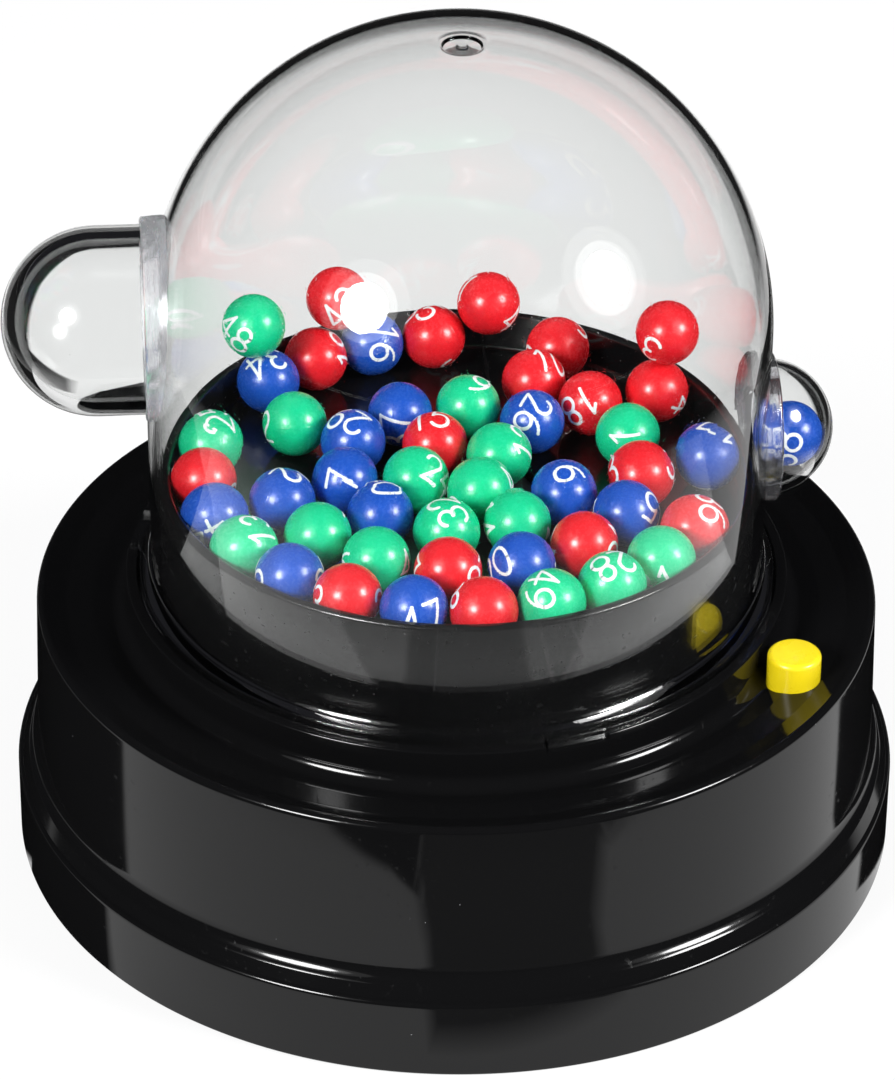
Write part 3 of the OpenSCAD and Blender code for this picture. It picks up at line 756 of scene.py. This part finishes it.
def make_ring(name, sign, height, outer, inner, face, look, node):
    """A bonding ring between the dome and a pocket, with its outer skin a little uneven."""
    start = 34 if outer < 12 else 30    # inside the dome, where the ring is cut away
    rounded = 0.5
    side = [(outer, x) for x in np.linspace(start, face - rounded, 14)]
    outline = ([(inner, start)] + side + arc(outer - rounded, face - rounded, rounded, 0, 90)[1:]
               + [(inner + 0.3 * (outer - inner), face), (inner, face)])
    piece = turned(name, outline, 200)
    rng = random.Random(name)
    waves = [(rng.uniform(3, 30), rng.uniform(0, 6.28), rng.uniform(0.4, 2.2)) for _ in range(9)]
    for v in piece.data.vertices:
        r = math.hypot(v.co.x, v.co.y) / MM
        if r < outer - 0.6:
            continue
        turn = math.atan2(v.co.y, v.co.x)
        dent = sum(math.sin(round(n) * turn + p + k * v.co.z / MM) for n, p, k in waves) / len(waves)
        scale = 1 - (0.22 + 0.28 * dent) / r
        v.co.x *= scale
        v.co.y *= scale
    piece.data.transform(along_x(sign, height))
    clearance = turned("dome_space", [(0, 30)] + [(dome_r + bond, 30)] + arc_of_dome(dome_r + bond, 0, 90))
    combine(piece, clearance, "DIFFERENCE")
    return finish_piece(piece, "dome", look, "frosted", node)


# ---- balls ----

def islands(node):
    """Middle of every separate ball in a CAD node, ordered by direction and reach."""
    work = bmesh.new()
    work.from_mesh(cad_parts[node].data)
    bmesh.ops.remove_doubles(work, verts=work.verts, dist=1e-6)
    left = set(work.verts)
    found = []
    while left:
        todo = [left.pop()]
        group = list(todo)
        while todo:
            for edge in todo.pop().link_edges:
                for v in edge.verts:
                    if v in left:
                        left.remove(v)
                        todo.append(v)
                        group.append(v)
        co = np.array([v.co for v in group])
        found.append(Vector((co.min(0) + co.max(0)) / 2))
    work.free()
    return sorted(found, key=lambda c: (round(math.atan2(c.y, c.x), 3), round(c.length, 4)))


BALL_R = 5.0
BALL_CELLS = 18


def ball_grid():
    """Points and faces of a unit ball made from a cube's six sides."""
    lookup = {}
    verts = []
    faces = []
    tan = [math.tan(math.pi / 4 * (2 * i / BALL_CELLS - 1)) for i in range(BALL_CELLS + 1)]

    def corner(axis, sign, i, j):
        p = [0.0, 0.0, 0.0]
        p[axis] = sign
        p[(axis + 1) % 3] = tan[i]
        p[(axis + 2) % 3] = tan[j]
        v = Vector(p).normalized()
        key = tuple(round(c, 5) for c in v)
        if key not in lookup:
            lookup[key] = len(verts)
            verts.append(v)
        return lookup[key]

    for axis in range(3):
        for sign in (-1.0, 1.0):
            for i in range(BALL_CELLS):
                for j in range(BALL_CELLS):
                    quad = [corner(axis, sign, i, j), corner(axis, sign, i + 1, j),
                            corner(axis, sign, i + 1, j + 1), corner(axis, sign, i, j + 1)]
                    faces.append(quad if sign > 0 else quad[::-1])
    return verts, faces


def make_balls(name, centres, spins, look, slot, body, node):
    unit, quads = ball_grid()
    verts = []
    faces = []
    places = []
    for centre, spin in zip(centres, spins):
        first = len(verts)
        verts += [centre + BALL_R * MM * v for v in unit]
        turn_back = spin.transposed()
        places += [turn_back @ v for v in unit]
        faces += [[first + k for k in quad] for quad in quads]
    piece = mesh_object(name, verts, faces)
    stored = piece.data.attributes.new("ball_place", "FLOAT_VECTOR", "POINT")
    stored.data.foreach_set("vector", [c for p in places for c in p])
    return finish_piece(piece, body, look, slot, node)


# Digits drawn as strokes in a box 0.6 wide and 1 high: a stroke is a straight line between two
# points, or an oval's centre, half width, half height, first and last direction in degrees.
DIGITS = {
    "0": [("oval", 0.3, 0.5, 0.28, 0.5, 0, 360)],
    "1": [("line", 0.16, 0.76, 0.36, 1.0), ("line", 0.36, 1.0, 0.36, 0.0)],
    "2": [("oval", 0.3, 0.72, 0.27, 0.28, 170, -28), ("line", 0.53, 0.58, 0.03, 0.0),
          ("line", 0.03, 0.0, 0.6, 0.0)],
    "3": [("oval", 0.29, 0.75, 0.25, 0.25, 155, -88), ("oval", 0.29, 0.26, 0.29, 0.26, 88, -155)],
    "4": [("line", 0.42, 0.0, 0.42, 1.0), ("line", 0.42, 1.0, 0.0, 0.3), ("line", 0.0, 0.3, 0.6, 0.3)],
    "5": [("line", 0.54, 1.0, 0.13, 1.0), ("line", 0.13, 1.0, 0.08, 0.56),
          ("oval", 0.28, 0.32, 0.3, 0.32, 132, -150)],
    "6": [("oval", 0.3, 0.3, 0.28, 0.3, 0, 360), ("oval", 0.62, 0.36, 0.6, 0.64, 180, 104)],
    "7": [("line", 0.03, 1.0, 0.58, 1.0), ("line", 0.58, 1.0, 0.22, 0.0)],
    "8": [("oval", 0.3, 0.76, 0.23, 0.24, 0, 360), ("oval", 0.3, 0.26, 0.28, 0.26, 0, 360)],
    "9": [("oval", 0.3, 0.7, 0.28, 0.3, 0, 360), ("oval", -0.02, 0.64, 0.6, 0.64, 0, -76)],
}
DIGIT_H = 4.7
DIGIT_STEP = 3.6
STROKE = 0.6
INK = 0.03


def stroke_points(stroke):
    """Evenly spaced points of a stroke, in millimetres within its digit."""
    if stroke[0] == "line":
        a, b = Vector(stroke[1:3]), Vector(stroke[3:5])
        steps = max(2, round((b - a).length * DIGIT_H / 0.45))
        return [(a.lerp(b, i / steps)) * DIGIT_H for i in range(steps + 1)]
    _, cx, cy, rx, ry, a0, a1 = stroke
    steps = max(6, round(abs(a1 - a0) / 12))
    turns = [math.radians(a0 + (a1 - a0) * i / steps) for i in range(steps + 1)]
    return [Vector((cx + rx * math.cos(a), cy + ry * math.sin(a))) * DIGIT_H for a in turns]


def stations(points):
    """Places along a stroke with the sideways direction and half width at each, rounded at both ends."""
    closed = (points[0] - points[-1]).length < 1e-6
    out = []
    for i, p in enumerate(points):
        before = points[i - 1] if i else (points[-2] if closed else p)
        after = points[i + 1] if i < len(points) - 1 else (points[1] if closed else p)
        d = (after - before).normalized()
        out.append((p, Vector((-d.y, d.x)), STROKE / 2))
    if closed:
        return out
    half = STROKE / 2
    for end in (0, -1):
        p, side, _ = out[end]
        ahead = Vector((side.y, -side.x)) * (-1 if end == 0 else 1)
        caps = [(p + ahead * half * math.sin(a), side, half * math.cos(a))
                for a in (math.radians(d) for d in (35, 62, 84))]
        out = caps[::-1] + out if end == 0 else out + caps
    return out


def add_ribbon(verts, faces, points, onto):
    """Adds one stroke as a closed low ribbon: two edges, a raised middle and a hidden underside."""
    first = len(verts)
    line = stations(points)
    for p, side, half in line:
        verts.append(onto(p + side * half, -0.006))
        verts.append(onto(p, INK))
        verts.append(onto(p - side * half, -0.006))
        verts.append(onto(p, -0.05))
    for i in range(len(line) - 1):
        for k in range(4):
            a = first + 4 * i + k
            b = first + 4 * i + (k + 1) % 4
            faces.append((a, b, b + 4, a + 4))
    last = first + 4 * (len(line) - 1)
    faces.append((first + 3, first + 2, first + 1, first))
    faces.append((last, last + 1, last + 2, last + 3))


def add_number(verts, faces, number, centre, spin, away):
    """Writes a number on one side of a ball: away is +1 or -1 along the ball's own X."""
    text = str(number)
    width = (len(text) - 1) * DIGIT_STEP + 0.6 * DIGIT_H

    def onto(p, lift):
        u, v = p.x - width / 2, p.y - DIGIT_H / 2
        bend = math.hypot(u, v) / BALL_R
        share = math.sin(bend) / max(bend, 1e-9) / BALL_R
        local = Vector((away * math.cos(bend), away * u * share, v * share))
        return centre + spin @ local * (BALL_R + lift) * MM

    for i, digit in enumerate(text):
        for stroke in DIGITS[digit]:
            points = [p + Vector((i * DIGIT_STEP, 0)) for p in stroke_points(stroke)]
            add_ribbon(verts, faces, points, onto)


def random_spin(rng):
    """An even random rotation."""
    axis = Vector((rng.gauss(0, 1), rng.gauss(0, 1), rng.gauss(0, 1))).normalized()
    return Matrix.Rotation(rng.uniform(0, 2 * math.pi), 3, axis)


def finish_numbers(name, verts, faces, body):
    piece = mesh_object(name, verts, faces)
    outward(piece)
    shade(piece)
    finish_piece(piece, body, "white_print", "white_plastic")


def make_all_balls():
    rng = random.Random(49)
    numbers = list(range(1, 50))
    rng.shuffle(numbers)
    verts = []
    faces = []
    for color in ("red", "green", "blue"):
        centres = islands(f"balls_{color}")
        spins = [random_spin(rng) for _ in centres]
        look = f"ball_{color}"
        make_balls(f"{color}_balls", centres, spins, look, look, "base", f"balls_{color}")
        for centre, spin in zip(centres, spins):
            number = numbers.pop()
            for away in (1, -1):
                add_number(verts, faces, number, centre, spin, away)
    finish_numbers("ball_numbers", verts, faces, "base")
    centre = islands("drawn_ball")[0]
    spin = random_spin(rng)
    make_balls("drawn_blue_ball", [centre], [spin], "ball_blue", "ball_blue", "dome", "drawn_ball")
    verts = []
    faces = []
    number = numbers.pop()
    for away in (1, -1):
        add_number(verts, faces, number, centre, spin, away)
    finish_numbers("drawn_number", verts, faces, "dome")


# ---- CAD pieces that stay ----

CAD_LOOKS = {
    "bottom_cover": "black_satin", "battery_door": "black_satin", "stirrer": "black_satin",
    "housing_screws": "zinc", "tub_screws": "zinc", "clamp_screws": "zinc", "board_screws": "zinc",
    "motor_can": "motor_steel", "motor_magnets": "ferrite", "motor_end_bell": "white_plastic",
    "motor_terminals": "brass", "motor_clamp": "zinc", "motor_shaft": "motor_steel",
    "battery_cells": "cell_wrap", "battery_springs": "nickel", "battery_plates": "nickel",
    "switch_board": "board", "push_switch": "white_plastic", "switch_stem": "white_plastic",
    "wire_red": "wire_red", "wire_black": "wire_black", "wire_yellow": "wire_yellow",
}


def dress_cad_pieces():
    for node, look in CAD_LOOKS.items():
        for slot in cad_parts[node].material_slots:
            slot.material = looks[look]


# ---- studio ----

FLOOR_HALF = 6.0                   # metres
SURROUND_REACH = 5900              # millimetres, just within the floor
CARD_HEIGHT = 0.3
RAYS = ("camera", "diffuse", "glossy", "transmission", "shadow", "volume_scatter")

# Outlines of the cards on the floor, in millimetres, +X to the camera's right and +Y away from it. The cards
# are painted shade and painted shadows: black sheets seen only in reflections and refractions.
# The next outline bounds painted shade round the dome: a black sheet beyond it, seen only through the clear
# plastic, paints the dome's dark edges.
SHADE_EDGE = [
    (-72, 60), (-70, 90), (-106, 106), (-110, 200), (-100, 300), (-60, 370), (0, 390), (60, 370), (90, 300),
    (80, 200), (80, 136), (80, 92), (66, 80), (68, 60), (170, 0), (260, -500), (-260, -500), (-170, 0),
]
# The next two outlines are painted shadows: black sheets where the object's own shadows from the two key
# lights fall on the floor, seen only in reflections.
PAINTED_SHADOW_LEFT = [
    (-50, -46), (-76, -39), (-108, -31), (-150, -5), (-190, 70), (-150, 190), (-56, 190), (-56, 60),
    (-66, -18),
]
PAINTED_SHADOW_RIGHT = [
    (66, -25), (72, -18), (80, -14), (104, 8), (125, 60), (150, 120), (110, 190), (48, 190), (48, 60),
    (67, -10),
]
# The front outlines and the bent one are painted shade: black sheets in front of the object that darken its
# reflections of the floor there. The bent one is half dark and seen only through the clear plastic.
CARD_FRONT_LEFT = [(-900, -116), (-48, -111), (-22, -111), (-10, -106), (-10, -900), (-900, -900)]
CARD_FRONT = [
    (-14, -108), (-8, -92), (-4, -72), (36, -72), (43, -84), (58, -99), (82, -97), (82, -900), (-14, -900),
]
CARD_BENT = [(-34, -102), (-16, -86), (34, -86), (50, -100), (60, -300), (-50, -300)]
CARD_FRONT_RIGHT = [(60, -102), (900, -102), (900, -900), (60, -900)]


def studio_material(name):
    material = bpy.data.materials.new(name)
    material.use_nodes = True
    material.node_tree.nodes.clear()
    return material, material.node_tree.nodes, material.node_tree.links


def add_floor():
    half = FLOOR_HALF
    verts = [(-half, -half, -1e-4), (half, -half, -1e-4), (half, half, -1e-4), (-half, half, -1e-4)]
    floor = mesh_object("floor", verts, [(0, 1, 2, 3)], smooth=False)
    material, nodes, links = studio_material("floor_look")
    glow = nodes.new("ShaderNodeEmission")
    glow.inputs["Strength"].default_value = 0.84
    matt = nodes.new("ShaderNodeBsdfDiffuse")
    matt.inputs["Color"].default_value = (0.12, 0.12, 0.12, 1)
    both = nodes.new("ShaderNodeAddShader")
    output = nodes.new("ShaderNodeOutputMaterial")
    links.new(glow.outputs[0], both.inputs[0])
    links.new(matt.outputs[0], both.inputs[1])
    links.new(both.outputs[0], output.inputs[0])
    floor.data.materials.append(material)


def black_cover(name, tone):
    """A black that covers by the share in its mesh's cover attribute and lets the rest through."""
    material, nodes, links = studio_material(name + "_look")
    cover = nodes.new("ShaderNodeAttribute")
    cover.attribute_name = "cover"
    clear = nodes.new("ShaderNodeBsdfTransparent")
    black = nodes.new("ShaderNodeBsdfDiffuse")
    black.inputs["Color"].default_value = (tone, tone, tone, 1)
    mix = nodes.new("ShaderNodeMixShader")
    output = nodes.new("ShaderNodeOutputMaterial")
    links.new(cover.outputs["Fac"], mix.inputs[0])
    links.new(clear.outputs[0], mix.inputs[1])
    links.new(black.outputs[0], mix.inputs[2])
    links.new(mix.outputs[0], output.inputs[0])
    return material


def lay_black(name, rims, covers, closed, height, tone, rays):
    """Lays black on the floor between rims of points, each rim with its own cover, for some rays only:
    painted shade that the camera doesn't see.
    """
    count = len(rims[0])
    verts = [studio(p.x * MM, p.y * MM, height * MM) for rim in rims for p in rim]
    faces = []
    for first in range(0, (len(rims) - 1) * count, count):
        for i in range(count):
            k = (i + 1) % count
            faces.append((first + i, first + k, first + count + k, first + count + i))
    if closed:
        faces.append(tuple(range(len(verts) - count, len(verts))))
    card = mesh_object(name, verts, faces, smooth=False)
    stored = card.data.attributes.new("cover", "FLOAT", "POINT")
    stored.data.foreach_set("value", [cover for cover in covers for _ in range(count)])
    card.data.materials.append(black_cover(name, tone))
    for ray in RAYS:
        setattr(card, "visible_" + ray, ray in rays)


def with_middle(outline):
    """An outline's points as vectors, and their middle."""
    points = [Vector(p) for p in outline]
    return points, sum(points, Vector((0, 0))) / len(points)


def add_card(name, outline, feather, density=1.0, rays=("glossy",)):
    """Paints shade onto the floor within an outline, fading in over the feather, for the given rays only."""
    rim, middle = with_middle(outline)
    inside = [p + (middle - p).normalized() * feather for p in rim]
    lay_black(name, [rim, inside], [0.0, density], True, CARD_HEIGHT, 0.002, rays)


def add_surround(name, outline, feather, height, rays):
    """Paints shade onto the floor beyond an outline, fading in over the feather, for the given rays only."""
    rim, middle = with_middle(outline)
    outside = [p + (p - middle).normalized() * feather for p in rim]
    far = [middle + (p - middle).normalized() * SURROUND_REACH for p in rim]
    lay_black(name, [rim, outside, far], [0.0, 1.0, 1.0], False, height, 0.01, rays)


def oval(middle, half_x, half_y, count=96):
    turns = [2 * math.pi * i / count for i in range(count)]
    return [(half_x * math.cos(a), middle + half_y * math.sin(a)) for a in turns]


def add_world():
    world = bpy.data.worlds.new("studio")
    bpy.context.scene.world = world
    world.use_nodes = True
    nodes = world.node_tree.nodes
    links = world.node_tree.links
    nodes.clear()
    path = nodes.new("ShaderNodeLightPath")
    output = nodes.new("ShaderNodeOutputWorld")
    dark = nodes.new("ShaderNodeBackground")
    dark.inputs[0].default_value = (0.012, 0.012, 0.014, 1)
    fill = nodes.new("ShaderNodeBackground")
    fill.inputs[0].default_value = (0.55, 0.55, 0.56, 1)
    back = nodes.new("ShaderNodeBackground")
    back.inputs[0].default_value = (0.98, 0.98, 0.98, 1)
    first = nodes.new("ShaderNodeMixShader")
    second = nodes.new("ShaderNodeMixShader")
    links.new(path.outputs["Is Diffuse Ray"], first.inputs[0])
    links.new(dark.outputs[0], first.inputs[1])
    links.new(fill.outputs[0], first.inputs[2])
    links.new(path.outputs["Is Camera Ray"], second.inputs[0])
    links.new(first.outputs[0], second.inputs[1])
    links.new(back.outputs[0], second.inputs[2])
    links.new(second.outputs[0], output.inputs[0])


def add_studio():
    bpy.context.scene.view_settings.view_transform = "Standard"
    add_world()
    add_floor()
    for name, way in (("left", (-0.535, -0.643, 0.549)), ("right", (0.765, -0.335, 0.556))):
        add_light("key_" + name, way, 1.2, 0.175, 13.5)
        add_light("glow_" + name, way, 1.23, 0.25, 1.2)
        add_light("haze_" + name, way, 1.26, 0.36, 0.9)
    # Painted shade in reflections and refractions: black sheets beyond these outlines that the camera never
    # sees. The second one paints the dome's dark edges.
    add_surround("surround", oval(110, 165, 225), 60, 0.2, ("glossy", "transmission"))
    add_surround("edge_shade", SHADE_EDGE, 8, 0.25, ("transmission",))
    # Painted shadows of the object on the floor, seen only in reflections.
    add_card("painted_shadow_left", PAINTED_SHADOW_LEFT, 2)
    add_card("painted_shadow_right", PAINTED_SHADOW_RIGHT, 2)
    # Painted shade in front of the object, seen only in reflections.
    add_card("card_front_left", CARD_FRONT_LEFT, 4)
    add_card("card_front", CARD_FRONT, 8, 0.88)
    # Half-dark painted shade, seen only through the clear plastic.
    add_card("card_bent", CARD_BENT, 8, 0.5, ("transmission",))
    add_card("card_front_right", CARD_FRONT_RIGHT, 8)


add_camera()
add_studio()
make_housing()
make_tub()
make_button()
make_spring()
make_dome()
make_big_pocket()
make_small_pocket()
make_ring("big_pocket_bead", -1, big_h, big_ring_r, big_r - big_wall, big_ring_x, "frosted",
          "big_pocket_ring")
make_ring("small_pocket_bead", 1, small_h, small_ring_r, throat_r, small_ring_x, "hazy",
          "small_pocket_ring")
make_all_balls()
dress_cad_pieces()
